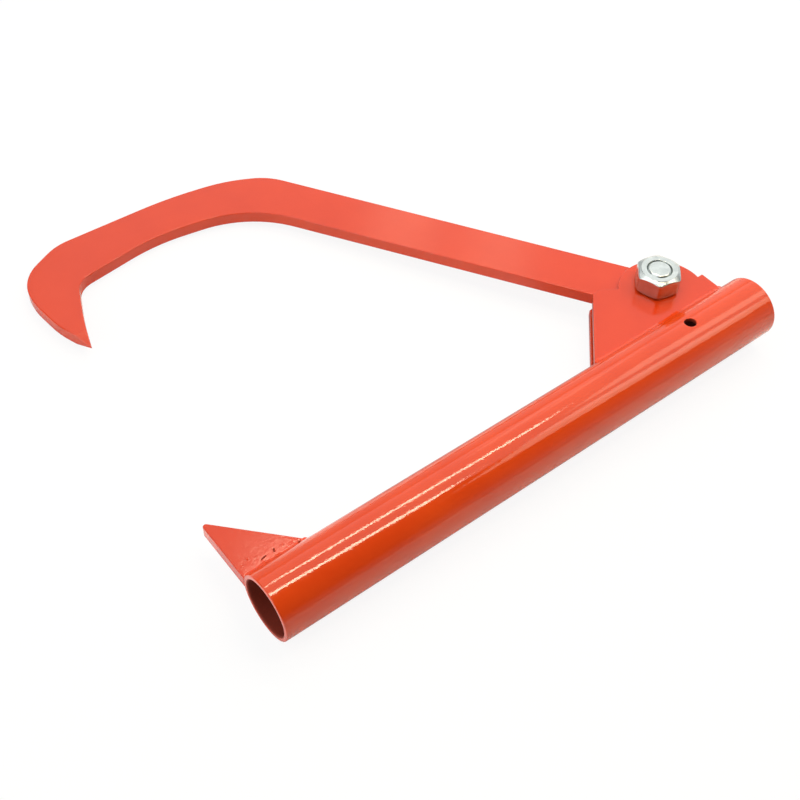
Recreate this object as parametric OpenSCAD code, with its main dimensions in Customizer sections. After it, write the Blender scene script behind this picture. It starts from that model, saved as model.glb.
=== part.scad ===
// Cant hook head: a steel handle socket with a welded toe, a two-eared bracket and a
// plate hook that swings on one bolt. Sizes are in millimetres.
// The origin is the centre of the socket's mouth, where the wooden handle goes in.
// +X runs out of the mouth along the handle, +Y points to the hook, +Z is up along the bolt.

/* [Handle socket] */
// Length of the socket tube
socket_len = 420; // [380:5:480]
// Outside diameter of the socket tube
socket_od = 45; // [42:0.5:50]
// Wall of the socket tube
socket_wall = 3.5; // [2.5:0.25:5]
// Hole for the handle's retaining screw
screw_d = 8.5; // [5:0.5:10]
// Distance of the screw hole from the mouth
screw_from_mouth = 67; // [30:1:110]
// Turn of the screw hole about the socket, towards the hook
screw_turn = 5; // [0:1:20]

/* [Pivot bracket] */
// Distance of the pivot from the mouth
pivot_from_mouth = 50; // [46:1:70]
// Height of the pivot above the outside of the socket
pivot_rise = 26.5; // [24:0.5:34]
// Plate of each ear
ear_t = 6; // [4:0.5:10]
// Radius of the ear's round crown
ear_r = 32; // [28:0.5:38]
// Distance of the crown's centre below the pivot
ear_drop = 7.3; // [4:0.1:10]
// Reach of the ear's wing along the socket, from the pivot
wing_foot = 86; // [76:1:100]
// Wing tip before the pivot, along the socket
wing_reach = 43; // [38:1:50]
// Wing tip above the pivot
wing_rise = 20.3; // [14:0.1:24]
// Width of the wing's blunt tip
wing_blunt = 6; // [3:0.5:9]
// Slope of the wing's short upper edge, down towards the pivot
wing_fall = 31; // [20:1:40]
// Heel of the ear past the pivot
heel_reach = 36.2; // [33:0.1:42]
// Height of the heel's square step above the socket
heel_rise = 14.7; // [8:0.1:18]
// Free play between the hook and each ear
side_play = 0.4; // [0.3:0.05:1]

/* [Pivot bolt and nut] */
// Bolt shank diameter
bolt_d = 20; // [16:1:22]
// Bolt length under its head
bolt_len = 40; // [38:1:60]
// Width across the flats of head and nut
hex_af = 30; // [26:0.5:34]
// Height of the bolt head
head_h = 12.5; // [8:0.5:14]
// Height of the nut
nut_h = 16; // [12:0.5:18]
// Turn of the nut where it was tightened
nut_turn = 47.5; // [0:0.5:60]
// Angle of the bevel on the corners of head and nut
hex_bevel = 30; // [15:1:35]
// Radial play between the bolt and the ears
ear_play = 0.5; // [0.2:0.05:1]
// Radial play between the bolt and the hook
pivot_play = 0.3; // [0.3:0.05:0.8]
// Radial gap that stands for the thread inside the nut
thread_gap = 0.05; // [0.02:0.01:0.2]
// Countersink at both ends of the nut's thread
nut_sink = 1; // [0.4:0.1:1.5]
// Chamfer on the bolt's end
bolt_tip = 1.6; // [0.8:0.1:2.4]

/* [Hook arm] */
// Plate of the hook
arm_t = 9.5; // [8:0.5:12]
// Width of the straight shank
arm_w = 38; // [34:0.5:42]
// Lean of the shank from square to the socket
shank_lean = 32.9; // [28:0.1:38]
// Pivot to the elbow's corner, along the shank
shank_len = 312; // [280:1:340]
// Elbow's centre to the outermost point of the claw's back
crown_reach = 195; // [180:1:215]
// Height of the crown's outer edge above the elbow's centre
crown_rise = 35.4; // [33:0.1:38]
// Depth of the band in the middle of the crown
crown_depth = 33.6; // [30:0.1:37]
// Depth of the band at the root of the claw
root_depth = 43.7; // [40:0.1:48]
// Drop of the claw's point below the crown's outer edge
claw_drop = 103.8; // [96:0.1:112]
// Set-back of the claw's point from its back
point_setback = 13.5; // [10:0.5:20]
// Width of the claw at its root
root_w = 35.6; // [32:0.1:40]
// Length of the ground point
grind_len = 14; // [8:1:22]
// Flat left on the edge of the ground point
point_land = 1.2; // [0.6:0.1:3]

/* [Hook curves] */
// Outer bend of the elbow
elbow_r = 47; // [38:1:56]
// First sweep after the elbow
sweep_r = 119; // [90:1:135]
// Long sweep into the crown
crown_r = 310; // [240:5:360]
// Shoulder where the crown turns down
shoulder_r = 40; // [25:1:60]
// Brow of the claw
brow_r = 35; // [28:1:42]
// Upper back of the claw
back_r = 56; // [40:1:66]
// Lower back of the claw
back_low_r = 80; // [50:1:120]
// Inner face of the claw
face_r = 300; // [150:10:400]
// Root of the claw, inside
root_r = 17.5; // [10:0.5:25]
// Inner edge of the crown
crown_in_r = 150; // [100:5:200]
// Inner bend of the elbow
elbow_in_r = 85; // [60:1:100]

/* [Toe] */
// Plate of the toe
toe_t = 9.5; // [6:0.5:12]
// Foot of the toe along the socket
toe_len = 46.5; // [38:0.5:58]
// Height of the toe's sharp corner above the socket
toe_rise = 49.4; // [40:0.1:60]
// Rounding of the toe's point
toe_r = 2; // [1:0.5:4]

/* [Welds] */
// Radius of a weld bead's face
bead_r = 5.5; // [4:0.5:8]
// Depth of the bead's centre in the seam
bead_sink = 1.5; // [0.5:0.1:2.5]
// Run of a bead past the plate's end
bead_over = 2; // [1:0.5:4]

/* [Hidden] */
$fn = 96;
socket_r = socket_od/2;
// Plates are cut to this height inside the socket's outside, then coped to the tube
root_y = socket_r*0.6;
pivot = [-pivot_from_mouth, socket_r + pivot_rise, 0];
ear_in = arm_t/2 + side_play;
ear_out = ear_in + ear_t;
hex_ac = hex_af/cos(30);
// Corners of the hook, measured from the elbow's centre with -X towards the claw
elbow = shank_len*[-sin(shank_lean), cos(shank_lean)];
across = arm_w/2*[cos(shank_lean), sin(shank_lean)];
point_xy = [point_setback - crown_reach, crown_rise - claw_drop];
hook_corners = [
  across,
  elbow + across,
  elbow + [-14, crown_rise - 10],
  elbow + [-61, crown_rise - 1.6],
  elbow + [40 - crown_reach, crown_rise],
  elbow + [3 - crown_reach, crown_rise - 18.6],
  elbow + [-crown_reach, crown_rise - 46.5],
  elbow + [3 - crown_reach, crown_rise - 75],
  elbow + point_xy,
  elbow + point_xy + [7.4, 25],
  elbow + [root_w - crown_reach, crown_rise - root_depth],
  elbow + [-91, crown_rise - crown_depth],
  elbow - across,
  -across];
hook_radii = [0, elbow_r, sweep_r, crown_r, shoulder_r, brow_r, back_r, back_low_r,
  0, face_r, root_r, crown_in_r, elbow_in_r, 0];

// Rounded corners. Each corner is first cut off straight, then its arc is put on or
// taken out. An arc passes this far over its edges, so that it crosses and never only grazes
kiss = 0.01;
function unit(v) = v/norm(v);
function prev(p, i) = p[(i + len(p) - 1) % len(p)];
function next(p, i) = p[(i + 1) % len(p)];
// Half of the angle inside corner i
function half_at(p, i) = acos(unit(prev(p, i) - p[i])*unit(next(p, i) - p[i]))/2;
// Length past the touching point in which an arc of radius r crosses its edge
function lap(r) = 1.25*sqrt(2*r*kiss);
// Length that a full arc at corner i takes from each of its edges
function run_at(p, r, i) = r[i] > 0 ? r[i]/tan(half_at(p, i)) + lap(r[i]) : 0;
// Share of the full arcs that the edge from corner i to the next has room for
function share(p, r, i) = min(1,
  norm(next(p, i) - p[i])/max(0.01, run_at(p, r, i) + run_at(p, r, (i + 1) % len(p))));
function arc_r(p, r, i) = r[i]*min(share(p, r, i), share(p, r, (i + len(p) - 1) % len(p)));
// Point on the edge from corner i towards q, past the touching point of the arc by the length d
function touch(p, r, i, q, d) = p[i] + unit(q - p[i])*(arc_r(p, r, i)/tan(half_at(p, i)) + d);
// Left turns stand out, right turns are hollows
function stands_out(p, i) = cross(p[i] - prev(p, i), next(p, i) - p[i]) > 0;

module arc_piece(p, r, i) {
  re = arc_r(p, r, i);
  a = touch(p, r, i, prev(p, i), lap(re));
  b = touch(p, r, i, next(p, i), lap(re));
  out = unit(p[i] - (a + b)/2);
  low = -0.3*out;
  high = norm(p[i] - (a + b)/2)*out;
  intersection() {
    polygon(stands_out(p, i) ? [a + low, a + high, b + high, b + low]
      : [b + low, b + high, a + high, a + low]);
    translate(p[i] - out*re/sin(half_at(p, i))) circle(r = re + kiss, $fn = 360);
  }
}

module rounded(p, r) {
  all = [for (i = [0 : len(p) - 1]) i];
  arcs = [for (i = all) if (r[i] > 0) i];
  difference() {
    union() {
      polygon([for (i = all) each r[i] > 0
        ? [touch(p, r, i, prev(p, i), 0), touch(p, r, i, next(p, i), 0)] : [p[i]]]);
      for (i = arcs) if (stands_out(p, i)) arc_piece(p, r, i);
    }
    for (i = arcs) if (!stands_out(p, i)) arc_piece(p, r, i);
  }
}

// The outside of the socket as a solid rod, longer than the tube
module socket_rod(r = socket_r) {
  translate([1, 0, 0]) rotate([0, -90, 0]) cylinder(r = r, h = socket_len + 2);
}

module socket_tube() {
  color("OrangeRed") difference() {
    rotate([0, -90, 0]) cylinder(r = socket_r, h = socket_len);
    socket_rod(socket_r - socket_wall);
    translate([-screw_from_mouth, 0, 0]) rotate([-screw_turn, 0, 0])
      cylinder(d = screw_d, h = socket_od);
  }
}

// One ear seen along the bolt, measured from the pivot
module ear_outline() {
  foot_y = root_y - pivot[1];
  flank = [wing_foot - wing_reach, pivot_rise + wing_rise];
  foot_x = -wing_foot - flank[0]*(socket_r - root_y)/flank[1];
  tip = [-wing_reach, wing_rise];
  blunt = tip + wing_blunt*[1, 0.15];
  // The short upper edge falls towards the pivot and ends inside the crown
  inside = blunt + wing_reach/2*[1, -tan(wing_fall)];
  step_y = heel_rise - pivot_rise;
  difference() {
    union() {
      polygon([[foot_x, foot_y], [heel_reach, foot_y], [heel_reach, step_y], [0, step_y],
        [0, 0], inside, blunt, tip]);
      translate([0, -ear_drop]) circle(r = ear_r);
    }
    circle(r = bolt_d/2 + ear_play);
  }
}

// The ear's foot is coped to the socket
module ear_plate() {
  difference() {
    translate(pivot + [0, 0, ear_in]) linear_extrude(ear_t) ear_outline();
    socket_rod();
  }
}

module upper_ear() {
  color("Tomato") ear_plate();
}

module lower_ear() {
  color("Coral") mirror([0, 0, 1]) ear_plate();
}

// Wedge of waste that grinding takes off one face of the claw's point
module grind_waste() {
  k = (arm_t - point_land)/2/grind_len;
  top = arm_t/2 + 2*k;
  rotate([90, 0, 90]) linear_extrude(height = 2*root_w, center = true)
    polygon([[-2, point_land/2], [0, point_land/2], [grind_len + 2, top], [-2, top]]);
}

module hook_arm() {
  color("Red") translate(pivot) difference() {
    translate([0, 0, -arm_t/2]) linear_extrude(arm_t) difference() {
      union() {
        rounded(hook_corners, hook_radii);
        circle(r = arm_w/2 + kiss);
      }
      circle(r = bolt_d/2 + pivot_play);
    }
    translate(elbow + point_xy) {
      grind_waste();
      mirror([0, 0, 1]) grind_waste();
    }
  }
}

module toe_plate() {
  foot = toe_len*(toe_rise + socket_r - root_y)/toe_rise;
  color("OrangeRed") translate([-socket_len, 0, 0]) difference() {
    translate([0, 0, -toe_t/2]) linear_extrude(toe_t)
      rounded([[0, root_y], [foot, root_y], [0, socket_r + toe_rise]], [0, 0, toe_r]);
    translate([socket_len, 0, 0]) socket_rod();
  }
}

// Hexagon from z = 0 to h with its top corners bevelled, and its bottom ones if asked
module hex_body(h, both) {
  r0 = hex_af/2*0.96;
  r1 = hex_ac/2 + 1;
  drop = (r1 - r0)*tan(hex_bevel);
  low = both ? r0 : r1;
  low_z = both ? drop : 0.01;
  intersection() {
    cylinder(d = hex_ac, h = h, $fn = 6);
    rotate_extrude() polygon([[0, 0], [low, 0], [r1, low_z], [r1, h - drop], [r0, h], [0, h]]);
  }
}

module pivot_bolt() {
  r = bolt_d/2;
  color("Silver") translate(pivot + [0, 0, -ear_out]) {
    mirror([0, 0, 1]) hex_body(head_h, false);
    rotate_extrude() polygon([[0, -1], [r, -1], [r, bolt_len - bolt_tip],
      [r - bolt_tip, bolt_len], [0, bolt_len]]);
  }
}

module pivot_nut() {
  r = bolt_d/2 + thread_gap;
  wide = r + nut_sink + 1;
  color("Gainsboro") translate(pivot + [0, 0, ear_out]) difference() {
    rotate([0, 0, nut_turn]) hex_body(nut_h, true);
    rotate_extrude() polygon([[0, -1], [wide, -1], [r, nut_sink], [r, nut_h - nut_sink],
      [wide, nut_h + 1], [0, nut_h + 1]]);
  }
}

// Bead along a plate's outer face at height z, between two stations of the socket
module bead(x0, x1, z) {
  seam_y = sqrt(socket_r*socket_r - z*z);
  difference() {
    translate([0, seam_y - bead_sink, z - bead_sink]) {
      translate([x0, 0, 0]) rotate([0, 90, 0]) cylinder(r = bead_r, h = x1 - x0);
      translate([x0, 0, 0]) sphere(r = bead_r);
      translate([x1, 0, 0]) sphere(r = bead_r);
    }
    socket_rod();
    translate([x0 - 2*bead_r, 0, z - 4*bead_r])
      cube([x1 - x0 + 4*bead_r, socket_r + 4*bead_r, 4*bead_r]);
  }
}

module ear_bead() {
  bead(pivot[0] - wing_foot + bead_over, pivot[0] + heel_reach - bead_over, ear_out);
}

module upper_ear_weld() {
  color("DarkOrange") ear_bead();
}

module lower_ear_weld() {
  color("DarkOrange") mirror([0, 0, 1]) ear_bead();
}

module toe_bead() {
  bead(bead_r - socket_len, toe_len - bead_over - socket_len, toe_t/2);
}

module upper_toe_weld() {
  color("DarkOrange") toe_bead();
}

module lower_toe_weld() {
  color("DarkOrange") mirror([0, 0, 1]) toe_bead();
}

socket_tube();
upper_ear();
lower_ear();
hook_arm();
toe_plate();
pivot_bolt();
pivot_nut();
upper_ear_weld();
lower_ear_weld();
upper_toe_weld();
lower_toe_weld();
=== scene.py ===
# %% [markdown]
# Cant hook head. A logger pushes a wooden handle into the tube, lays the toe on a log and
# lets the hook swing round until its point bites. The steel is cut from plate and tube,
# welded, sprayed with orange-red powder and baked. The bolt and the nut are zinc plated and
# go on after the paint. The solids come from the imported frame, and this script adds what a
# spray gun, a welding torch and a thread die leave behind.

import math

import bmesh
import bpy
import numpy as np
from mathutils import Matrix, Quaternion, Vector


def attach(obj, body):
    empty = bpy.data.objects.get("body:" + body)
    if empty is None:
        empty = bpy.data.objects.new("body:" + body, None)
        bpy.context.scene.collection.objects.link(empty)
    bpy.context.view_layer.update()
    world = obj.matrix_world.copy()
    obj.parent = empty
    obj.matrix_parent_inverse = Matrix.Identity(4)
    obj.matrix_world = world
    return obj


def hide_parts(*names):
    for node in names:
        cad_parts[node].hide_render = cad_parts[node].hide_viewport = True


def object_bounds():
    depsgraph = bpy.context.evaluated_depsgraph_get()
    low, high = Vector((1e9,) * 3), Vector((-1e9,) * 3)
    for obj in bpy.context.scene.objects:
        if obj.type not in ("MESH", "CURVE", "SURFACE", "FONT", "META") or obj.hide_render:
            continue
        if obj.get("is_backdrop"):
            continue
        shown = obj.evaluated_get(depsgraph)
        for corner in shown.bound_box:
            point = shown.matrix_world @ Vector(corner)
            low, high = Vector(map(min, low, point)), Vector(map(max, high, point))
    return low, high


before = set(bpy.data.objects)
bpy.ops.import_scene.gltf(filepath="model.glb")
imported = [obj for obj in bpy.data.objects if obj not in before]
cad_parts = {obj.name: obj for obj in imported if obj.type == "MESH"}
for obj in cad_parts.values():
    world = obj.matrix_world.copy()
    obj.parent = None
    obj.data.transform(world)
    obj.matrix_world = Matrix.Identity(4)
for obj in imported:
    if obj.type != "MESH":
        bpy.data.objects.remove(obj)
CAD_BOX = [list(corner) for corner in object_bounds()]
MM = 0.001


def box_mm(box):
    """The two corners of a box in millimetres, rounded for printing."""
    return [[round(v / MM, 1) for v in corner] for corner in box]


print("frame box, mm:", box_mm(CAD_BOX))

# %% [markdown]
# The sizes of the real object that several pieces share. They are the same stock sizes as the
# solids: a 45 mm tube with a 3.5 mm wall, 9.5 mm plate for hook and toe, and 6 mm ears that
# leave the hook 0.4 mm of room on either side. The tube lies along X with its mouth at the
# origin, the hook is on the side of +Y, and the bolt stands along Z with its nut on top.

# %% Sizes that the pieces share
TUBE_R = 22.5 * MM
TUBE_WALL = 3.5 * MM
BORE_R = TUBE_R - TUBE_WALL
TUBE_LENGTH = 420.0 * MM
SCREW_X = -67.0 * MM
SCREW_R = 4.25 * MM
SCREW_TURN = math.radians(5.0)
PLATE = 9.5 * MM
EAR_FACE = 11.15 * MM
PIVOT = Vector((-50.0 * MM, 49.0 * MM, 0.0))
print("bore and screw hole, mm:", round(2 * BORE_R / MM, 2), round(2 * SCREW_R / MM, 2))

# %% [markdown]
# Helpers for colour and nodes. Paint colours are written as they look on a screen and turned
# to linear light by one function. Every node of a finish is added by one call that also sets
# its values and links, so a finish reads from top to bottom like a recipe. Patterns are given
# in real millimetres on Object coordinates, so they stay on the steel when it moves.

# %% Colour and node helpers


def linear(hex_colour):
    """Linear RGBA of an sRGB hex colour: c/12.92 up to 0.04045, else ((c + 0.055)/1.055)^2.4."""
    c = np.array([int(hex_colour[i : i + 2], 16) for i in (1, 3, 5)]) / 255.0
    c = np.where(c <= 0.04045, c / 12.92, ((c + 0.055) / 1.055) ** 2.4)
    return (*c.tolist(), 1.0)


def add(tree, kind, *in_order, **named):
    """Adds a node. Unnamed values go to its sockets in use, in their order. A name that starts
    with a capital is a socket's, with _ for each space, and any other is a setting of the node.
    A value is a number, a hex colour, or another node or output, which is linked."""
    node = tree.nodes.new("ShaderNode" + kind)
    for key, value in named.items():
        if not key[0].isupper():
            setattr(node, key, value)
    pairs = list(zip([s for s in node.inputs if s.enabled], in_order))
    pairs += [(node.inputs[k.replace("_", " ")], v) for k, v in named.items() if k[0].isupper()]
    for socket, value in pairs:
        if isinstance(value, bpy.types.Node):
            value = next(s for s in value.outputs if s.enabled)
        if isinstance(value, bpy.types.NodeSocket):
            tree.links.new(value, socket)
        else:
            socket.default_value = linear(value) if isinstance(value, str) else value
    return node


def new_finish(name):
    """An empty node material, its tree, and Object coordinates in metres."""
    material = bpy.data.materials.new(name)
    material.use_nodes = True
    material.node_tree.nodes.clear()
    where = add(material.node_tree, "TexCoord").outputs["Object"]
    return material, material.node_tree, where


def mottle(tree, where, blob_mm, low, high, detail=2.0, span=(0.3, 0.7)):
    """Drift from low to high in blobs of about blob_mm: a noise whose span is stretched."""
    noise = add(tree, "TexNoise", Vector=where, Scale=1.0 / (blob_mm * MM), Detail=detail)
    return add(tree, "MapRange", noise, *span, low, high)


print("half bright on a screen, in linear light:", round(linear("#808080")[0], 3))

# %% [markdown]
# Powder coat. Dry powder is blown on, clings to the earthed steel and melts in an oven at
# about 200 degrees. It flows out to a thick gloss film with the ripple called orange peel:
# some two to three millimetres from crest to crest and a few hundredths of a millimetre
# high. One plain glossy red would draw every highlight with a ruler, and it is the ripple
# that frays the long lines on the tube, so the finish is a gloss film over layers of noise.
# The red drifts slowly, with small darker specks where the powder lay thin. Hardly any powder
# gets inside the tube, so its coat fades to a dull brown in the bore. The same dull brown on the
# wall of the screw hole is painted shade.

# %% Orange-red powder coat
CLOUD_MM = 38.0
SPECK_MM = 0.9
SPECK_SHARE = 0.35
SPECK_SPAN = (0.62, 0.78)
GLOSS_MM = 12.0
FINE_TIMES = 4.0
FINE_RIPPLE = 0.12
FILM_IOR = 1.5
FILM_LEVEL = 0.5
BARE_LEVEL = 0.15
BARE_ROUGHNESS = 0.65
HOLE_SHADE_REACH = 2.0 * MM
HOLE_SHADE_FADE = (SCREW_R + 0.1 * MM, SCREW_R + 0.5 * MM)
BORE_FADE = (TUBE_R - 2.9 * MM, TUBE_R - 2.3 * MM)


def bare_bore_and_hole_shade(t, where):
    """1 in the bore and on the wall of the screw hole, 0 on the outside. On the hole's wall the
    dull brown is painted shade. The distance from the tube's axis decides, made 2 mm shorter in the
    slice of the tube that has the hole."""
    parts = add(t, "SeparateXYZ", where)
    across = add(t, "CombineXYZ", Y=parts.outputs["Y"], Z=parts.outputs["Z"])
    reach = add(t, "VectorMath", across, operation="LENGTH")
    along = add(t, "Math", parts.outputs["X"], SCREW_X, operation="SUBTRACT")
    along = add(t, "Math", along, operation="ABSOLUTE")
    at_hole = add(t, "MapRange", along, *HOLE_SHADE_FADE, 1.0, 0.0)
    reach = add(t, "Math", at_hole, -HOLE_SHADE_REACH, reach, operation="MULTIPLY_ADD")
    return add(t, "MapRange", reach, *BORE_FADE, 1.0, 0.0)


def powder_coat(name, face, shade, peel_mm=1.8, peel_height=0.05, gloss=(0.08, 0.14), bare_and_hole_shade=None):
    """Gloss film that drifts from the colour face to shade. Its ripple is peel_mm long and
    peel_height mm high, its roughness drifts within gloss, and the last argument is the colour
    inside: dull brown in the bore, and painted shade on the wall of the screw hole."""
    material, t, where = new_finish(name)
    cloud = mottle(t, where, CLOUD_MM, 0.0, 1.0, detail=3.0)
    colour = add(t, "Mix", cloud, face, shade, data_type="RGBA")
    roughness, level = mottle(t, where, GLOSS_MM, *gloss), FILM_LEVEL
    if bare_and_hole_shade:
        inside = bare_bore_and_hole_shade(t, where)
        colour = add(t, "Mix", inside, colour, bare_and_hole_shade, data_type="RGBA")
        roughness = add(t, "MapRange", inside, 0.0, 1.0, roughness, BARE_ROUGHNESS)
        level = add(t, "MapRange", inside, 0.0, 1.0, FILM_LEVEL, BARE_LEVEL)
    speck = mottle(t, where, SPECK_MM, 0.0, SPECK_SHARE, detail=1.0, span=SPECK_SPAN)
    colour = add(t, "Mix", speck, colour, shade, data_type="RGBA")
    peel_scale = 1.0 / (peel_mm * MM)
    peel = add(t, "TexNoise", Vector=where, Scale=peel_scale, Detail=2.0, Roughness=0.45)
    fine = add(t, "TexNoise", Vector=where, Scale=FINE_TIMES * peel_scale, Detail=1.0)
    film = add(t, "Math", fine, FINE_RIPPLE, peel, operation="MULTIPLY_ADD")
    bump = add(t, "Bump", Height=film, Strength=1.0, Distance=peel_height * MM)
    coat = add(t, "BsdfPrincipled", Base_Color=colour, Roughness=roughness, Normal=bump,
               IOR=FILM_IOR, Specular_IOR_Level=level)
    add(t, "OutputMaterial", coat)
    return material


# The dull brown is the thin coat in the bore and painted shade on the wall of the screw hole.
SOCKET_COAT = powder_coat("powder_coat_tube", "#CD4314", "#C73D12", peel_mm=3.2,
                          peel_height=0.055, gloss=(0.06, 0.11), bare_and_hole_shade="#7C2E20")
PLATE_COAT = powder_coat("powder_coat_plate", "#C83A12", "#C23610", gloss=(0.1, 0.15))
WELD_COAT = powder_coat("powder_coat_weld", "#D44216", "#CC3C12", peel_mm=1.6,
                        peel_height=0.04, gloss=(0.14, 0.22))
print("powder coats:", [m.name for m in (SOCKET_COAT, PLATE_COAT, WELD_COAT)])

# %% [markdown]
# Zinc plate. The nut and the bolt are cold formed, plated in a turning barrel and left
# bright. The metal is a pale grey with a hint of green. Its shine is a little soft, because
# the plating follows the steel below, and the knocks of the barrel leave shallow dents some
# millimetres wide that bend the reflections. A clean mirror would look like chrome, so a
# fully metallic shader with the default IOR gets a colour, roughness and surface that drift.

# %% Bright zinc plate
ZINC_CLOUD_MM = 6.0
ZINC_SHINE_MM = 5.0
ZINC_SHINE = (0.2, 0.27)
DENT_MM = 4.0
DENT_DEPTH = 0.01 * MM


def zinc_plate(name):
    """Pale metal whose colour, roughness and dents drift in blobs of 4 to 6 mm."""
    material, t, where = new_finish(name)
    cloud = mottle(t, where, ZINC_CLOUD_MM, 0.0, 1.0, detail=3.0)
    colour = add(t, "Mix", cloud, "#CDD4D1", "#BDC4C2", data_type="RGBA")
    roughness = mottle(t, where, ZINC_SHINE_MM, *ZINC_SHINE, detail=1.0)
    dents = add(t, "TexNoise", Vector=where, Scale=1.0 / (DENT_MM * MM), Detail=1.0)
    bump = add(t, "Bump", Height=dents, Strength=1.0, Distance=DENT_DEPTH)
    metal = add(t, "BsdfPrincipled", Base_Color=colour, Roughness=roughness, Normal=bump,
                Metallic=1.0)
    add(t, "OutputMaterial", metal)
    return material


ZINC = zinc_plate("bright_zinc_plate")
print("metal finish:", ZINC.name)

# %% [markdown]
# Every solid of the frame gets its finish, also those that a finer piece hides later: the
# pieces made from a copy of a solid take its finish along.

# %% Put the finishes on the solids
for material, names in (
    (SOCKET_COAT, ("socket_tube",)),
    (PLATE_COAT, ("upper_ear", "lower_ear", "hook_arm", "toe_plate")),
    (WELD_COAT, ("upper_ear_weld", "lower_ear_weld", "upper_toe_weld", "lower_toe_weld")),
    (ZINC, ("pivot_bolt", "pivot_nut")),
):
    for name in names:
        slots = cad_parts[name].data.materials
        slots.clear()
        slots.append(material)
    print(material.name, "on", len(names))

# %% [markdown]
# A finished piece is an object at the origin, with its place in its mesh. It rides on one of
# the tool's two bodies, the head or the hook, and most pieces stand for a solid that they
# hide. One helper does this for all of them, so that no piece is left behind in a pose.

# %% Helper that places a piece


def place(name, mesh, body, node=None):
    """Makes a mesh a piece that rides on a body and, where one is named, replaces a node."""
    piece = bpy.data.objects.new(name, mesh)
    bpy.context.scene.collection.objects.link(piece)
    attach(piece, body)
    if node:
        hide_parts(node)
    return piece


# %% [markdown]
# Plates with soft edges. The ears, the toe and the hook are cut from plate, dressed with a
# grinder and sprayed, so no edge is sharp: steel and film together round it by nearly a
# millimetre. A plate could be drawn again from its outline, but a copy of its solid keeps
# the shape exactly and lacks only the round edge. The copy's triangles are merged into whole
# faces first, so that the bevel finds only the real edges.

# %% Round the edges of the plates
PLATE_EDGE = 0.8 * MM
EDGE_STEPS = 3
SAME_POINT = 0.002 * MM
SAME_FACE = math.radians(0.5)
SHARP = math.radians(15.0)
EDGE_ANGLE = math.radians(40.0)


def soften_plate(node, body):
    """Copy of a solid with its flat faces merged and a bevel of PLATE_EDGE on edges over
    EDGE_ANGLE."""
    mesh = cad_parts[node].data.copy()
    bm = bmesh.new()
    bm.from_mesh(mesh)
    bmesh.ops.remove_doubles(bm, verts=bm.verts, dist=SAME_POINT)
    bmesh.ops.dissolve_limit(bm, angle_limit=SAME_FACE, verts=bm.verts, edges=bm.edges)
    for face in bm.faces:
        face.smooth = True
    bm.to_mesh(mesh)
    bm.free()
    mesh.set_sharp_from_angle(angle=SHARP)
    piece = place("soft_" + node, mesh, body, node)
    bevel = piece.modifiers.new("worn_edge", "BEVEL")
    bevel.width, bevel.segments = PLATE_EDGE, EDGE_STEPS
    bevel.limit_method, bevel.angle_limit = "ANGLE", EDGE_ANGLE
    bevel.use_clamp_overlap = False
    bevel.harden_normals = True
    print(piece.name, "faces before the bevel:", len(mesh.polygons))


for node in ("upper_ear", "lower_ear", "toe_plate"):
    soften_plate(node, "head")
soften_plate("hook_arm", "hook")

# %% [markdown]
# The socket is a length of tube, sawn to 420 mm, with its burrs filed off at both ends. Near
# the mouth a screw goes through a drilled hole into the handle. The long highlights show
# every facet, so the tube gets a finer skin than its solid. Cutting the hole from a cylinder
# would leave thin triangles that show too, so the skin is sewn from grids that share their
# borders: the two ends, the band beside the hole and a patch that is square outside and
# round at the hole.

# %% Grids of the socket tube
COLUMNS = 192
HALF_CELLS = 9
CELL = 2 * math.pi / COLUMNS
PATCH = HALF_CELLS * CELL * TUBE_R
OUTER_EDGE = 0.8 * MM
INNER_EDGE = 1.3 * MM
HOLE_EDGE = 0.5 * MM
END_BAND = 4.0 * MM
EDGE_GAP = 0.1 * MM
LONG_ROWS = 39
HOLE_RINGS = 8


def on_tube(x, turn, r):
    """Points at a turn from +Z about the tube's axis, the hook's side being positive."""
    return np.stack(np.broadcast_arrays(x, r * np.sin(turn), r * np.cos(turn)), -1)


def quarter(radius, start, steps=5):
    """Offsets of a quarter round of the given radius, from start radians on."""
    a = start + np.linspace(0, math.pi / 2, steps)
    return radius * np.cos(a), radius * np.sin(a)


def sawn_end(x_patch, x_end, side):
    """Profile from the hole's band along the outside, round the sawn end and back inside."""
    lean, up = quarter(OUTER_EDGE, math.pi / 2)
    back, down = quarter(INNER_EDGE, 0.0)
    x_band = x_end - side * END_BAND
    out_end, in_end = x_end - side * (OUTER_EDGE + EDGE_GAP), x_end - side * (INNER_EDGE + EDGE_GAP)
    out_x = np.append(np.linspace(x_patch, x_band, LONG_ROWS), out_end)
    in_x = np.append(in_end, np.linspace(x_band, x_patch, LONG_ROWS))
    out_r, in_r = np.full(len(out_x), TUBE_R), np.full(len(in_x), BORE_R)
    x = [out_x, x_end - side * (OUTER_EDGE + lean), x_end - side * (INNER_EDGE - back), in_x]
    r = [out_r, TUBE_R - OUTER_EDGE + up, BORE_R + INNER_EDGE - down, in_r]
    return np.concatenate(x), np.concatenate(r)


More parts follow.
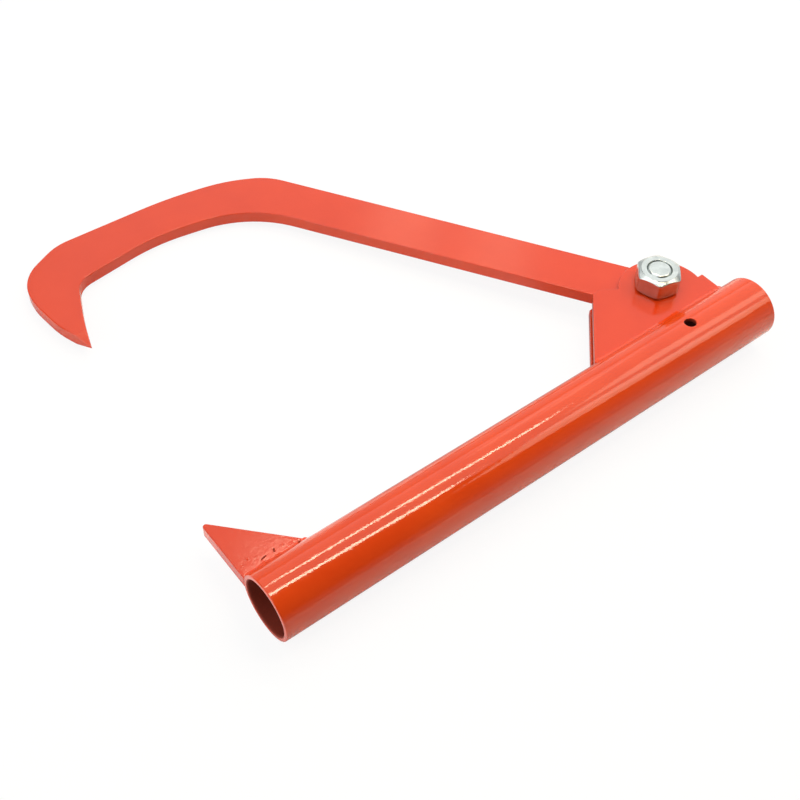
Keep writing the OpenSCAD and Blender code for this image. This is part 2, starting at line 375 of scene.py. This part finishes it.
def hole_patch():
    """Rings from the patch's square border to the hole, down its wall and out again inside. A
    point at u across and v along lies at the turn asin(u / r), and the blend goes from the
    square, 0, to a circle of SCREW_R, 1, with a quarter round where the hole meets the tube."""
    step = np.arange(-HALF_CELLS, HALF_CELLS)
    edge = np.full(2 * HALF_CELLS, HALF_CELLS)
    along = np.concatenate([edge, -step, -edge, step, edge[:1]]) / HALF_CELLS * PATCH
    across = np.concatenate([step, edge, -step, -edge, step[:1]]) * CELL
    way = np.arctan2(TUBE_R * np.sin(across), along)
    drop, shrink = quarter(HOLE_EDGE, 0.0, 4)
    low, high = BORE_R + HOLE_EDGE, TUBE_R - HOLE_EDGE
    rings = [(b, HOLE_EDGE, TUBE_R) for b in np.linspace(0, 1, HOLE_RINGS)]
    rings += [(1.0, HOLE_EDGE - s, high + d) for d, s in zip(drop[1:], shrink[1:])]
    rings += [(1.0, HOLE_EDGE - s, low - d) for d, s in zip(drop[::-1], shrink[::-1])]
    rings += [(b, HOLE_EDGE, BORE_R) for b in np.linspace(1, 0, HOLE_RINGS)[1:]]
    blend, wide, r = np.array(rings).T[:, :, None]
    u = (1 - blend) * r * np.sin(across) + blend * (SCREW_R + wide) * np.sin(way)
    v = (1 - blend) * along + blend * (SCREW_R + wide) * np.cos(way)
    return on_tube(SCREW_X + v, SCREW_TURN + np.arcsin(u / r), r)


def tube_grids():
    """All grids of the tube: an end on either side of the hole's band, the rest of the band on
    the outside and the inside, and the patch that closes it."""
    turns = SCREW_TURN + (np.arange(COLUMNS + 1) - HALF_CELLS) * CELL
    grids = []
    for x_patch, x_end, side in ((SCREW_X - PATCH, -TUBE_LENGTH, -1), (SCREW_X + PATCH, 0.0, 1)):
        x, r = sawn_end(x_patch, x_end, side)
        grids.append(on_tube(x[:, None], turns[None, :], r[:, None]))
    band = SCREW_X + PATCH * np.linspace(-1, 1, 2 * HALF_CELLS + 1)
    for r in (TUBE_R, BORE_R):
        grids.append(on_tube(band[:, None], turns[None, 2 * HALF_CELLS :], r))
    return grids + [hole_patch()]


GRIDS = tube_grids()
print("grids of the tube:", [g.shape[:2] for g in GRIDS])

# %% [markdown]
# The grids meet point on point. Points that fall together become one, which closes the skin,
# and then Blender turns all faces outwards. A count of open edges shows that no seam is left.

# %% Sew the socket tube


def sew(name, grids):
    """One closed mesh from grids: points that fall together become one, and faces turn out."""
    starts = np.cumsum([0] + [g.shape[0] * g.shape[1] for g in grids])
    faces = []
    for g, start in zip(grids, starts):
        at = start + np.arange(g.shape[0] * g.shape[1]).reshape(g.shape[:2])
        corners = [at[:-1, :-1], at[:-1, 1:], at[1:, 1:], at[1:, :-1]]
        faces.append(np.stack(corners, -1).reshape(-1, 4))
    points = np.round(np.concatenate([g.reshape(-1, 3) for g in grids]), 7) + 0.0
    points, same = np.unique(points, axis=0, return_inverse=True)
    mesh = bpy.data.meshes.new(name)
    mesh.from_pydata(points.tolist(), [], same.reshape(-1)[np.concatenate(faces)].tolist())
    bm = bmesh.new()
    bm.from_mesh(mesh)
    bmesh.ops.recalc_face_normals(bm, faces=bm.faces)
    loose = sum(len(e.link_faces) != 2 for e in bm.edges)
    print(name, "faces:", len(bm.faces), "open edges:", loose)
    bm.to_mesh(mesh)
    bm.free()
    mesh.polygons.foreach_set("use_smooth", [True] * len(mesh.polygons))
    return mesh


TUBE = sew("sawn_tube", GRIDS)
TUBE.materials.append(SOCKET_COAT)
place("sawn_tube", TUBE, "head", "socket_tube")

# %% [markdown]
# Three kinds of piece take the place of plain solids: the weld beads, the bolt and the nut.
# Each is a closed skin over a stack of rings, so one helper makes the mesh. The rings run
# anticlockwise about the way they travel, which makes every face point outwards.

# %% Skin over a stack of rings


def skin(name, rings, node, material, wrap=False, sharp_deg=30.0):
    """Closed surface over rings[i, j]. Faces join ring i to ring i + 1, and each end gets a fan
    on its middle point, or the last ring joins the first where wrap is set."""
    n, m, _ = rings.shape
    i, j = np.arange(n if wrap else n - 1)[:, None], np.arange(m)[None, :]
    k, up = (j + 1) % m, (i + 1) % n
    corners = np.broadcast_arrays(i * m + j, i * m + k, up * m + k, up * m + j)
    faces = np.stack(corners, -1).reshape(-1, 4).tolist()
    points = rings.reshape(-1, 3)
    if not wrap:
        points = np.concatenate([points, rings[[0, -1]].mean(1)])
        j, k, last = np.arange(m), (np.arange(m) + 1) % m, (n - 1) * m
        faces += np.stack([0 * j + n * m, k, j], -1).tolist()
        faces += np.stack([0 * j + n * m + 1, last + j, last + k], -1).tolist()
    mesh = bpy.data.meshes.new(name)
    mesh.from_pydata(points.tolist(), [], faces)
    mesh.polygons.foreach_set("use_smooth", [True] * len(faces))
    mesh.set_sharp_from_angle(angle=math.radians(sharp_deg))
    mesh.materials.append(material)
    place(name, mesh, "head", node)
    print(name, "faces:", len(faces))


# %% [markdown]
# Weld beads. A fillet weld joins each ear and the toe to the tube. The torch moves in small
# steps, and every step freezes as a shallow crescent with its bow towards the start. These
# beads are small and hollow, so plate and tube flow into each other. The bead's width drifts
# with the hand, and a few pits and lumps show where the arc bit in or spat. A bump in the
# finish could draw the ripples, but a bead also shows in outline, so it is a real surface.
# The seam is a straight line along the tube, so a bead is a cross-section carried along X.
# This cell works in millimetres and turns to metres at the end.

# %% Weld beads
WELD_STEP = 0.3
WELD_ROWS = 15
WELD_RIPPLE = 3.2
RIPPLE_HEIGHT = 0.09
RIPPLE_BOW = 0.55
RIPPLE_DRIFT = 0.35
WIDTH_DRIFT = 0.15
HOLLOW = 0.16
LEG_ON_TUBE = 0.9
BEAD_SINK = 0.15
BEAD_LEAN = math.radians(30.0)
BEAD_ROOT, ROOT_CORNER, ROOT_EDGE = 1.0, 1.5, 0.2
END_HEIGHT = 0.02
DRIFT_LENGTHS = (4.1, 9.7, 23.0)


def wobble(s, seed):
    """Drift along s, in mm: the mean of sines of DRIFT_LENGTHS with seeded phases."""
    phases = np.random.default_rng(seed).uniform(0, 2 * np.pi, len(DRIFT_LENGTHS))
    waves = [np.sin(2 * np.pi * s / length + p) for length, p in zip(DRIFT_LENGTHS, phases)]
    return sum(waves) / len(waves)


def weld_bead(node, span, face_z, leg, seed, lumps=(), pits=(), below=False):
    """Across the bead, v runs from the plate to the tube, and the skin is the straight line
    between the two less a hollow of 4v(1 - v) plus the ripple. A ripple is 1 - (2f - 1)^2 of the
    fraction f of (s + bow 4v(1 - v))/pitch. A lump widens the bead and a pit sinks its skin,
    both by a bell curve. A lump is its place along, size and reach, and a pit is its place
    along, its place across from 0 to 1, depth and reach. The bead's root lies in the steel."""
    run = np.arange(span[0], span[1] + WELD_STEP, WELD_STEP)[:, None]
    v = np.linspace(0, 1, WELD_ROWS)[None, :]
    end = np.clip(np.minimum(run - span[0], span[1] - run) / leg, 0.0, 1.0)
    fade = np.sqrt(1.0 - (1.0 - end) ** 2) + END_HEIGHT
    width = leg * (1.0 + WIDTH_DRIFT * wobble(run, seed)) * fade
    for station, size, reach in lumps:
        width = width + size * np.exp(-(((run - station) / reach) ** 2))
    tube_r = TUBE_R / MM
    seam = math.sqrt(tube_r**2 - face_z**2)
    seam_turn = math.asin(seam / tube_r)
    turn = seam_turn - LEG_ON_TUBE * width / tube_r
    plate_y, plate_z = seam + width, face_z - BEAD_SINK + 0 * width
    tube_y, tube_z = (tube_r - BEAD_SINK) * np.sin(turn), (tube_r - BEAD_SINK) * np.cos(turn)
    out = seam_turn / 2 + BEAD_LEAN
    arch = 4 * v * (1 - v)
    part = (run / WELD_RIPPLE + RIPPLE_DRIFT * wobble(run, seed + 1) + RIPPLE_BOW * arch) % 1.0
    rise = RIPPLE_HEIGHT * fade * arch * (1 - (2 * part - 1) ** 2) - HOLLOW * width * arch
    for station, across, size, reach in pits:
        near = ((run - station) / reach) ** 2 + ((v - across) * leg / reach) ** 2
        rise = rise - size * np.exp(-near)
    y = plate_y * (1 - v) + tube_y * v + rise * math.cos(out)
    z = plate_z * (1 - v) + tube_z * v + rise * math.sin(out)
    corner = seam - ROOT_CORNER + 0 * width
    y = np.concatenate([y, tube_y - BEAD_ROOT, corner, plate_y - ROOT_EDGE], 1)
    z = np.concatenate([z, tube_z - BEAD_ROOT, plate_z - ROOT_CORNER, plate_z - BEAD_ROOT], 1)
    rings = np.stack([run + 0 * y, y, z], -1) * MM
    if below:
        rings = (rings * np.array([1, 1, -1]))[:, ::-1]
    skin(node + "_bead", rings, node, WELD_COAT, sharp_deg=50.0)


TOE_TOP = PLATE / MM / 2
EAR_SEAM = (-137.5, -12.5), EAR_FACE / MM, 2.4
TOE_SEAM = (-419.0, -373.0), TOE_TOP, 2.6
weld_bead("upper_ear_weld", *EAR_SEAM, seed=3,
          lumps=[(-133.5, 0.9, 2.2), (-101.6, 0.8, 2.0), (-61.0, 0.6, 2.5)])
weld_bead("lower_ear_weld", *EAR_SEAM, seed=5,
          lumps=[(-118.0, 0.8, 2.4), (-40.0, 0.9, 2.0)], below=True)
weld_bead("upper_toe_weld", *TOE_SEAM, seed=7,
          lumps=[(-403.0, 1.6, 2.0), (-394.5, 2.2, 1.6), (-379.0, 1.0, 1.5)],
          pits=[(-402.5, 0.25, 0.9, 1.0), (-394.5, 0.15, 1.0, 0.9), (-379.1, 0.2, 0.9, 1.0)])
weld_bead("lower_toe_weld", *TOE_SEAM, seed=9, lumps=[(-398.0, 0.9, 2.2)], below=True)

# %% [markdown]
# Spatter. Beside the toe's bead a few drops of steel froze on the plate and were sprayed over.
# Three dark brown domes at the bead's foot are painted shade for small pits there. Each is a
# low dome, half sunk in the plate: rings of a flattened ball, longer along the bead for the dark
# ones. They are real domes and not flat paint, because their small shadows are what the eye
# finds. The three dark ones are painted shade, with a rough finish that hardly mirrors.

# %% Spatter and painted pit shade beside the toe's bead
DOME_RINGS = 6
DOME_POINTS = 16
DOME_FOOT = -0.35
PIT_SHADE_CLOUD_MM = 0.8
PIT_SHADE_GRAIN_MM = 0.5
PIT_SHADE_GRAIN_DEPTH = 0.05 * MM


def painted_pit_shade(name):
    """Dark brown and rough: painted shade for small pits beside the toe's bead."""
    material, t, where = new_finish(name)
    cloud = mottle(t, where, PIT_SHADE_CLOUD_MM, 0.0, 1.0, detail=3.0)
    colour = add(t, "Mix", cloud, "#6A1C0E", "#8C2C14", data_type="RGBA")
    grain = add(t, "TexNoise", Vector=where, Scale=1.0 / (PIT_SHADE_GRAIN_MM * MM), Detail=2.0)
    bump = add(t, "Bump", Height=grain, Strength=1.0, Distance=PIT_SHADE_GRAIN_DEPTH)
    pit_shade_surface = add(t, "BsdfPrincipled", Base_Color=colour, Normal=bump, Roughness=0.45, IOR=1.15)
    add(t, "OutputMaterial", pit_shade_surface)
    return material


def drops(name, places, material):
    """One mesh of low domes. A place is x, y, half length, half width, height, all in mm, and
    the turn in degrees. A dome's rings rise as a sine and narrow as a cosine."""
    up = np.linspace(DOME_FOOT, 1.0, DOME_RINGS + 1)[:-1, None] * np.pi / 2
    around = np.linspace(0, 2 * np.pi, DOME_POINTS, endpoint=False)
    i, j = np.arange(DOME_RINGS - 1)[:, None] * DOME_POINTS, np.arange(DOME_POINTS)[None, :]
    k, over = (j + 1) % DOME_POINTS, i + DOME_POINTS
    side = np.stack(np.broadcast_arrays(i + j, i + k, over + k, over + j), -1).reshape(-1, 4)
    foot = np.arange(DOME_POINTS)[::-1]
    crown = (DOME_RINGS - 1) * DOME_POINTS + np.arange(DOME_POINTS)
    points, faces = [], []
    for number, (x, y, length, width, height, turn) in enumerate(places):
        c, s = math.cos(math.radians(turn)), math.sin(math.radians(turn))
        u, v = length * np.cos(up) * np.cos(around), width * np.cos(up) * np.sin(around)
        z = TOE_TOP + height * np.sin(up) + 0 * u
        points.append(np.stack([x + u * c - v * s, y + u * s + v * c, z], -1).reshape(-1, 3) * MM)
        start = number * DOME_RINGS * DOME_POINTS
        faces += (start + side).tolist() + [(start + crown).tolist(), (start + foot).tolist()]
    mesh = bpy.data.meshes.new(name)
    mesh.from_pydata(np.concatenate(points).tolist(), [], faces)
    mesh.polygons.foreach_set("use_smooth", [True] * len(faces))
    mesh.materials.append(material)
    place(name, mesh, "head")
    print(name, "domes:", len(places))


drops("toe_spatter", [
    (-411.0, 32.0, 0.9, 0.8, 0.6, 0),
    (-416.0, 30.0, 0.7, 0.7, 0.5, 0),
    (-405.5, 30.2, 0.5, 0.5, 0.4, 0),
    (-388.0, 28.0, 0.6, 0.5, 0.4, 0),
    (-397.0, 33.5, 0.4, 0.4, 0.3, 0),
], WELD_COAT)
# Three dark brown domes as painted shade for small pits at the bead's foot.
drops("toe_pit_shade", [
    (-402.5, 27.2, 2.3, 0.6, 0.35, 12),
    (-394.6, 27.9, 0.7, 1.5, 0.4, -20),
    (-379.0, 23.8, 1.0, 0.7, 0.4, 0),
], painted_pit_shade("painted_pit_shade"))

# %% [markdown]
# Hexagons. Bolt and nut are an M20 size with 30 mm flats. A hexagon and a cone meet in the
# curved edges that mark every turned nut. A cone could be cut from a prism, but written as a
# radius for each angle and height, the smaller of the two, those edges come by themselves.
# The corners are a little round because the bar is drawn, not cut, so a smooth minimum is
# used. The rings lie close together where the cone cuts the corners, and wide apart below.

# %% Hexagon with a chamfer
HEX_FLATS = 30.0 * MM
CORNER_R = 16.8 * MM
CHAMFER_START = 0.88
CHAMFER_SLOPE = math.tan(math.radians(30.0))
CHAMFER_ROWS = np.linspace(0, 4.2, 26)
BELOW_CHAMFER = 9.0 * MM
FACE_EDGE = 0.15 * MM
FACE_SHARES = (0.9, 0.985)
TURN = np.linspace(0, 2 * np.pi, 288, endpoint=False)


def smaller(a, b, power=70.0):
    """Smooth minimum of two radii: (a^-p + b^-p)^(-1/p)."""
    low = np.minimum(a, b)
    return low * ((low / a) ** power + (low / b) ** power) ** (-1 / power)


def hexagon(depth, turn_deg):
    """Radius of a hexagon at every angle of TURN, where depth is how far it lies below the
    nearest face: half the flats over the cosine to the next flat, or the cone if smaller."""
    off = (TURN - math.radians(turn_deg)) % (np.pi / 3) - np.pi / 6
    cone = HEX_FLATS / 2 * CHAMFER_START + depth / CHAMFER_SLOPE
    return smaller(smaller(HEX_FLATS / 2 / np.cos(off), CORNER_R), cone)


def stack(profile):
    """Rings about the pivot from pairs of radius and height, each a number or one per angle."""
    radius = np.array([np.broadcast_to(r, TURN.shape) for r, _ in profile])
    height = np.array([np.broadcast_to(z, TURN.shape) for _, z in profile])
    x, y = PIVOT.x + radius * np.cos(TURN), PIVOT.y + radius * np.sin(TURN)
    return np.stack([x, y, height], -1)


WIDTHS = 2 * hexagon(BELOW_CHAMFER, 0.0) / MM
print("across flats and corners, mm:", round(WIDTHS.min(), 1), round(WIDTHS.max(), 1))

# %% [markdown]
# The nut is pressed to shape from bar and tapped. Both its faces have a chamfer, so it can go
# on either way up, and the bore is countersunk so that the bolt finds its way in. Its turn
# is the one in the picture, where it stopped when it was tight.

# %% Nut
NUT_H = 16.0 * MM
NUT_TURN = 47.5
NUT_FOOT = (10.05, 11.0)
NUT_SIDE_ROWS = np.linspace(4.6, 7.6, 5)
COUNTERSINK = ((9.6, 0.0), (9.3, 0.06), (9.1, 0.3), (9.1, 0.9), (10.05, 1.6))


def nut_profile():
    """Out along the lower face, up the hexagon, in along the upper face and down the bore."""
    low, top = EAR_FACE, EAR_FACE + NUT_H
    depth = np.concatenate([CHAMFER_ROWS, NUT_SIDE_ROWS]) * MM
    rim = hexagon(0.0, NUT_TURN)
    profile = [(r * MM, low) for r in NUT_FOOT] + [(rim * f, low) for f in FACE_SHARES]
    profile += [(hexagon(d, NUT_TURN), low + d + FACE_EDGE) for d in depth]
    profile += [(hexagon(d, NUT_TURN), top - d - FACE_EDGE) for d in depth[::-1]]
    profile += [(rim * f, top) for f in FACE_SHARES[::-1]]
    return profile + [(r * MM, top - d * MM) for r, d in COUNTERSINK]


skin("zinc_nut", stack(nut_profile()), "pivot_nut", ZINC, wrap=True)

# %% [markdown]
# The bolt goes in from below. Its head is chamfered on its outer face only, and the thread is
# rolled on the upper part of the shank. Its end is turned to a chamfer and a flat dome, which
# shows above the nut. In the rings, the thread's radius follows the angle as well as the
# height, so that it rises by one pitch in one turn.

# %% Bolt
BOLT_R = 10.0 * MM
BOLT_TOP = 27.6 * MM
HEAD_H = 12.5 * MM
HEAD_TURN = 15.0
HEAD_FOOT = (3.0, 7.0, 11.0)
HEAD_SIDE_ROWS = np.linspace(4.6, HEAD_H / MM - 0.3, 8)
UNDER_SHARES = (0.985, 0.85)
NECK_OUT, NECK_UP = 0.2 * MM, 0.3 * MM
SHANK_TOP = 10.0 * MM
THREAD_FROM, THREAD_TO = 20.0 * MM, BOLT_TOP - 0.9 * MM
THREAD_PITCH = 2.5 * MM
THREAD_DEPTH = 1.35 * MM
THREAD_ROWS = 56
END_CONE = 2.55 * MM
END_SLOPE = 0.95
END_DOME = ((8.05, 0.62), (7.8, 0.38), (7.45, 0.17), (7.0, 0.05),
            (6.5, 0.06), (6.0, 0.14), (4.0, 0.1), (2.0, 0.02))


def bolt_profile():
    """Up from the middle of the head, out over its chamfer, in under the head, up the shank and
    the thread, and over the chamfered end to its flat dome. With f the fraction of z/pitch -
    angle/turn, the thread lies THREAD_DEPTH times 1.25 - 1.5 |2f - 1|, kept from 0 to 1, deep."""
    under, foot = -EAR_FACE, -EAR_FACE - HEAD_H
    depth = np.concatenate([CHAMFER_ROWS, HEAD_SIDE_ROWS]) * MM
    rim, flange = hexagon(0.0, HEAD_TURN), hexagon(BELOW_CHAMFER, HEAD_TURN)
    profile = [(r * MM, foot) for r in HEAD_FOOT] + [(rim * f, foot) for f in FACE_SHARES]
    profile += [(hexagon(d, HEAD_TURN), foot + d + FACE_EDGE) for d in depth]
    profile += [(flange * f, under) for f in UNDER_SHARES]
    profile += [(BOLT_R + NECK_OUT, under), (BOLT_R, under + NECK_UP), (BOLT_R, SHANK_TOP)]
    for z in np.linspace(THREAD_FROM, THREAD_TO, THREAD_ROWS):
        part = (z / THREAD_PITCH - TURN / (2 * np.pi)) % 1.0
        thread = BOLT_R - THREAD_DEPTH * np.clip(1.25 - np.abs(2 * part - 1) * 1.5, 0, 1)
        end = BOLT_R - END_CONE + (BOLT_TOP - z) * END_SLOPE
        profile.append((np.minimum(thread, end), z))
    return profile + [(r * MM, BOLT_TOP - d * MM) for r, d in END_DOME]


skin("zinc_bolt", stack(bolt_profile()), "pivot_bolt", ZINC)

# %% [markdown]
# The table. The tool lies on the bolt's head, the tube's far end and the lower edge of the
# hook, so the table is tilted a few degrees against the plates. It is white paper that the
# picture shows nearly without tone. More light would bleach the paint as well, so camera rays
# see the paper mostly as plain white, with a little of the shaded paper left for the shadow.
# Glossy rays see part of the paper as a glow: painted light beyond the tube's far end, and a
# dim strip close behind the tube that is painted shade in the coat's reflections.

# %% Table of white paper
REST_POINT = Vector((-420.0, 1.5, -22.5)) * MM
REST_UP = Vector((0.01216, -0.05304, 0.99852)).normalized()
TABLE_HALF = 4.0
PAPER = "#EFEFEF"
PLAIN_WHITE = 0.9
LIGHT_POOL_GLOW, SHADE_BAND_GLOW = 2.0, 0.35
GLOW_SHARE = 0.75
LEFT_FADE = (-0.445, -0.42)
SHADE_BAND_NEAR, SHADE_BAND_FAR, SHADE_BAND_LEFT = (0.015, 0.04), (0.09, 0.13), (-0.42, -0.3)


def white_paper(name):
    """Diffuse paper, seen by camera rays as PLAIN_WHITE parts white, and by glossy rays as a
    glowing sheet: painted light left of LEFT_FADE, dimmed to painted shade behind the tube."""
    material, t, _ = new_finish(name)
    paper = add(t, "BsdfDiffuse", Color=PAPER)
    white = add(t, "Emission", Strength=1.0)
    path = add(t, "LightPath")
    seen = add(t, "Math", path.outputs["Is Camera Ray"], PLAIN_WHITE, operation="MULTIPLY")
    lit = add(t, "MixShader", seen, paper, white)
    spot = add(t, "SeparateXYZ", add(t, "NewGeometry").outputs["Position"])
    x, y = spot.outputs["X"], spot.outputs["Y"]
    left = add(t, "MapRange", x, *LEFT_FADE, 1.0, 0.0)
    behind = add(t, "MapRange", y, *SHADE_BAND_NEAR, 0.0, 1.0)
    before = add(t, "MapRange", y, *SHADE_BAND_FAR, 1.0, 0.0)
    along = add(t, "MapRange", x, *SHADE_BAND_LEFT, 0.0, 1.0)
    band = add(t, "Math", behind, before, operation="MULTIPLY")
    band = add(t, "Math", band, along, operation="MULTIPLY")
    share = add(t, "MapRange", add(t, "Math", left, band, operation="MAXIMUM"),
                0.0, 1.0, 0.0, GLOW_SHARE)
    # The glow is painted light, dimmed in the strip behind the tube to painted shade.
    glow = add(t, "Emission", Strength=add(t, "MapRange", band, 0.0, 1.0, LIGHT_POOL_GLOW, SHADE_BAND_GLOW))
    mirrored = add(t, "Math", path.outputs["Is Glossy Ray"], share, operation="MULTIPLY")
    add(t, "OutputMaterial", add(t, "MixShader", mirrored, lit, glow))
    return material


def table():
    """A square of paper through REST_POINT, square to REST_UP."""
    h = TABLE_HALF
    mesh = bpy.data.meshes.new("table")
    mesh.from_pydata([(-h, -h, 0), (h, -h, 0), (h, h, 0), (-h, h, 0)], [], [(0, 1, 2, 3)])
    mesh.materials.append(white_paper("white_paper"))
    top = bpy.data.objects.new("table", mesh)
    top.location = REST_POINT
    top.rotation_mode = "QUATERNION"
    top.rotation_quaternion = REST_UP.to_track_quat("Z", "Y")
    bpy.context.scene.collection.objects.link(top)
    top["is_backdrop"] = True


table()
print("table tilted by, degrees:", round(math.degrees(REST_UP.angle((0, 0, 1))), 1))

# %% [markdown]
# The camera stands where the photograph's did: its place, aim, roll and lens were found by
# laying the tube's outline, the rims of its ends and the plates' outlines over the picture.

# %% Camera
CAMERA_AT = Vector((-0.59391, -0.32686, 0.61474))
CAMERA_AIM = Vector((-0.258971, 0.079733, 0.0))
CAMERA_ROLL = math.radians(2.304)
LENS, SENSOR = 54.44, 36.0


def camera():
    """A camera at CAMERA_AT that looks at CAMERA_AIM, rolled by CAMERA_ROLL."""
    cam = bpy.data.objects.new("camera", bpy.data.cameras.new("camera"))
    cam.data.lens, cam.data.sensor_width = LENS, SENSOR
    cam.data.clip_start, cam.data.clip_end = 0.01, 50.0
    cam.location = CAMERA_AT
    cam.rotation_mode = "QUATERNION"
    aim = (CAMERA_AIM - CAMERA_AT).to_track_quat("-Z", "Y")
    cam.rotation_quaternion = aim @ Quaternion((0, 0, 1), CAMERA_ROLL)
    bpy.context.scene.collection.objects.link(cam)
    bpy.context.scene.camera = cam


camera()
print("camera to aim, m:", round((CAMERA_AIM - CAMERA_AT).length, 3))

# %% [markdown]
# The studio. Gloss paint shows the room, so the room is part of the finish. The walls are a
# soft gradient: dark in front of the tool and pale low down there, pale behind it and to both
# sides, and dark overhead, where the lamps hang. Camera rays see them as plain white.

# %% Walls of the studio
CLEAN_WHITE = "#FFFFFF"
HORIZON = (0.0, 0.25)
FRONT_TO_BACK = (-0.35, 0.45)
RIGHT_WALL = (0.35, 0.8)
LEFT_WALL = (-1.0, -0.2)
ZENITH = (0.3, 0.6)


def sky(front, low_front, back, left, right, over):
    """Brightness of the walls by direction: from front to back along Y, plus left and right
    along X, and times over near the zenith. The front brightens to low_front at the horizon."""
    world = bpy.data.worlds.new("studio_walls")
    bpy.context.scene.world = world
    world.use_nodes = True
    t = world.node_tree
    t.nodes.clear()
    way = add(t, "SeparateXYZ", add(t, "TexCoord").outputs["Generated"])
    x, y, z = (way.outputs[axis] for axis in "XYZ")
    ahead = add(t, "MapRange", z, *HORIZON, low_front, front)
    depth = add(t, "MapRange", y, *FRONT_TO_BACK, ahead, back)
    on_right = add(t, "MapRange", x, *RIGHT_WALL, 0.0, right)
    on_left = add(t, "MapRange", x, *LEFT_WALL, left, 0.0)
    around = add(t, "Math", depth, on_right, operation="ADD")
    around = add(t, "Math", around, on_left, operation="ADD")
    height = add(t, "MapRange", z, *ZENITH, 1.0, over)
    walls = add(t, "Background", Strength=add(t, "Math", around, height, operation="MULTIPLY"))
    clean = add(t, "Background", Color=CLEAN_WHITE, Strength=1.0)
    seen = add(t, "LightPath").outputs["Is Camera Ray"]
    add(t, "OutputWorld", add(t, "MixShader", seen, walls, clean))


sky(front=0.04, low_front=0.5, back=0.8, left=0.4, right=0.7, over=0.1)
print("walls:", bpy.context.scene.world.name)

# %% [markdown]
# The lamps. A wide ceiling panel gives the plates their pale sheen. Two narrow lamps run
# nearly along the tube and draw the two long lines on it, each with a softer lamp behind it
# that carries the line on, dimmer. Two weak panes put the pale patches on the hook's shank.
# Two boxes on the left light the sides of the plates that face that way. Each lamp is given
# by the brightness that it shows in a mirror, and its power follows from its area. The rows
# say name, start, end, width and brightness of a strip, and name, place, aim, size,
# brightness and turn of a box.

# %% Lamps
CEILING = 1.0
LAMP_TINT = "#FFEDCF"
LAMPS_AIM = Vector((-0.25, 0.1, 0.0))
STRIPS = (
    ("lamp_far", (-0.12, 0.553), (0.36, 0.144), 0.07, 21.0),
    ("lamp_far_soft", (0.474, -0.015), (1.0, -0.27), 0.28, 2.5),
    ("lamp_near", (-0.24, 0.04), (0.176, -0.278), 0.09, 21.0),
    ("lamp_near_soft", (0.315, -0.466), (1.35, -1.05), 0.36, 3.2),
    ("left_pane", (0.53, 1.147), (0.607, 1.038), 0.3, 1.1),
    ("right_pane", (0.634, 0.974), (0.71, 0.885), 0.3, 1.1),
)
PANEL = "ceiling_panel", (0.663, 0.60, CEILING + 0.02), (0.663, 0.60, 0.0), (2.3, 2.05), 1.15, -35.6
BOXES = (
    ("top_left_box", (-1.15, 0.1, 1.35), (-0.25, 0.1, 0.0), (1.7, 1.7), 1.2),
    ("left_low_box", (-1.45, 0.15, 0.45), (-0.35, 0.15, 0.0), (1.0, 0.6), 2.4),
)


def lamp(name, size, radiance, tint="#FFFFFF"):
    """A rectangular light that the camera doesn't see: its power is radiance times pi times
    its area."""
    light = bpy.data.lights.new(name, "AREA")
    light.shape = "RECTANGLE"
    light.color = linear(tint)[:3]
    light.size, light.size_y = size
    light.energy = radiance * math.pi * size[0] * size[1]
    hung = bpy.data.objects.new(name, light)
    hung.rotation_mode = "QUATERNION"
    hung.visible_camera = False
    bpy.context.scene.collection.objects.link(hung)
    return hung


def soft_box(name, at, aim, size, radiance, turn=0.0):
    """A lamp at a point that shines at aim, turned about that line by turn degrees."""
    hung = lamp(name, size, radiance)
    hung.location = at
    way = (Vector(aim) - Vector(at)).to_track_quat("-Z", "Y")
    hung.rotation_quaternion = way @ Quaternion((0, 0, 1), math.radians(turn))


def strip(name, start, end, width, radiance):
    """A long warm lamp under the ceiling from start to end that shines at LAMPS_AIM."""
    start, end = Vector((*start, CEILING)), Vector((*end, CEILING))
    hung = lamp(name, ((end - start).length, width), radiance, LAMP_TINT)
    along = (end - start).normalized()
    down = (LAMPS_AIM - (start + end) / 2).normalized()
    side = along.cross(down).normalized()
    axes = Matrix((along, side, along.cross(side))).transposed()
    hung.location = (start + end) / 2
    hung.rotation_quaternion = axes.to_quaternion()


soft_box(*PANEL)
for row in STRIPS:
    strip(*row)
for row in BOXES:
    soft_box(*row)
bpy.context.scene.view_settings.view_transform = "Standard"

# %% [markdown]
# The finished model has to stay inside the solids' box, because other tools size the part by
# its solids. Both boxes are kept side by side, in metres.

# %% Record the box of the finished model
NEW_BOX = [list(corner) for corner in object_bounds()]
print("scene box, mm:", box_mm(NEW_BOX))
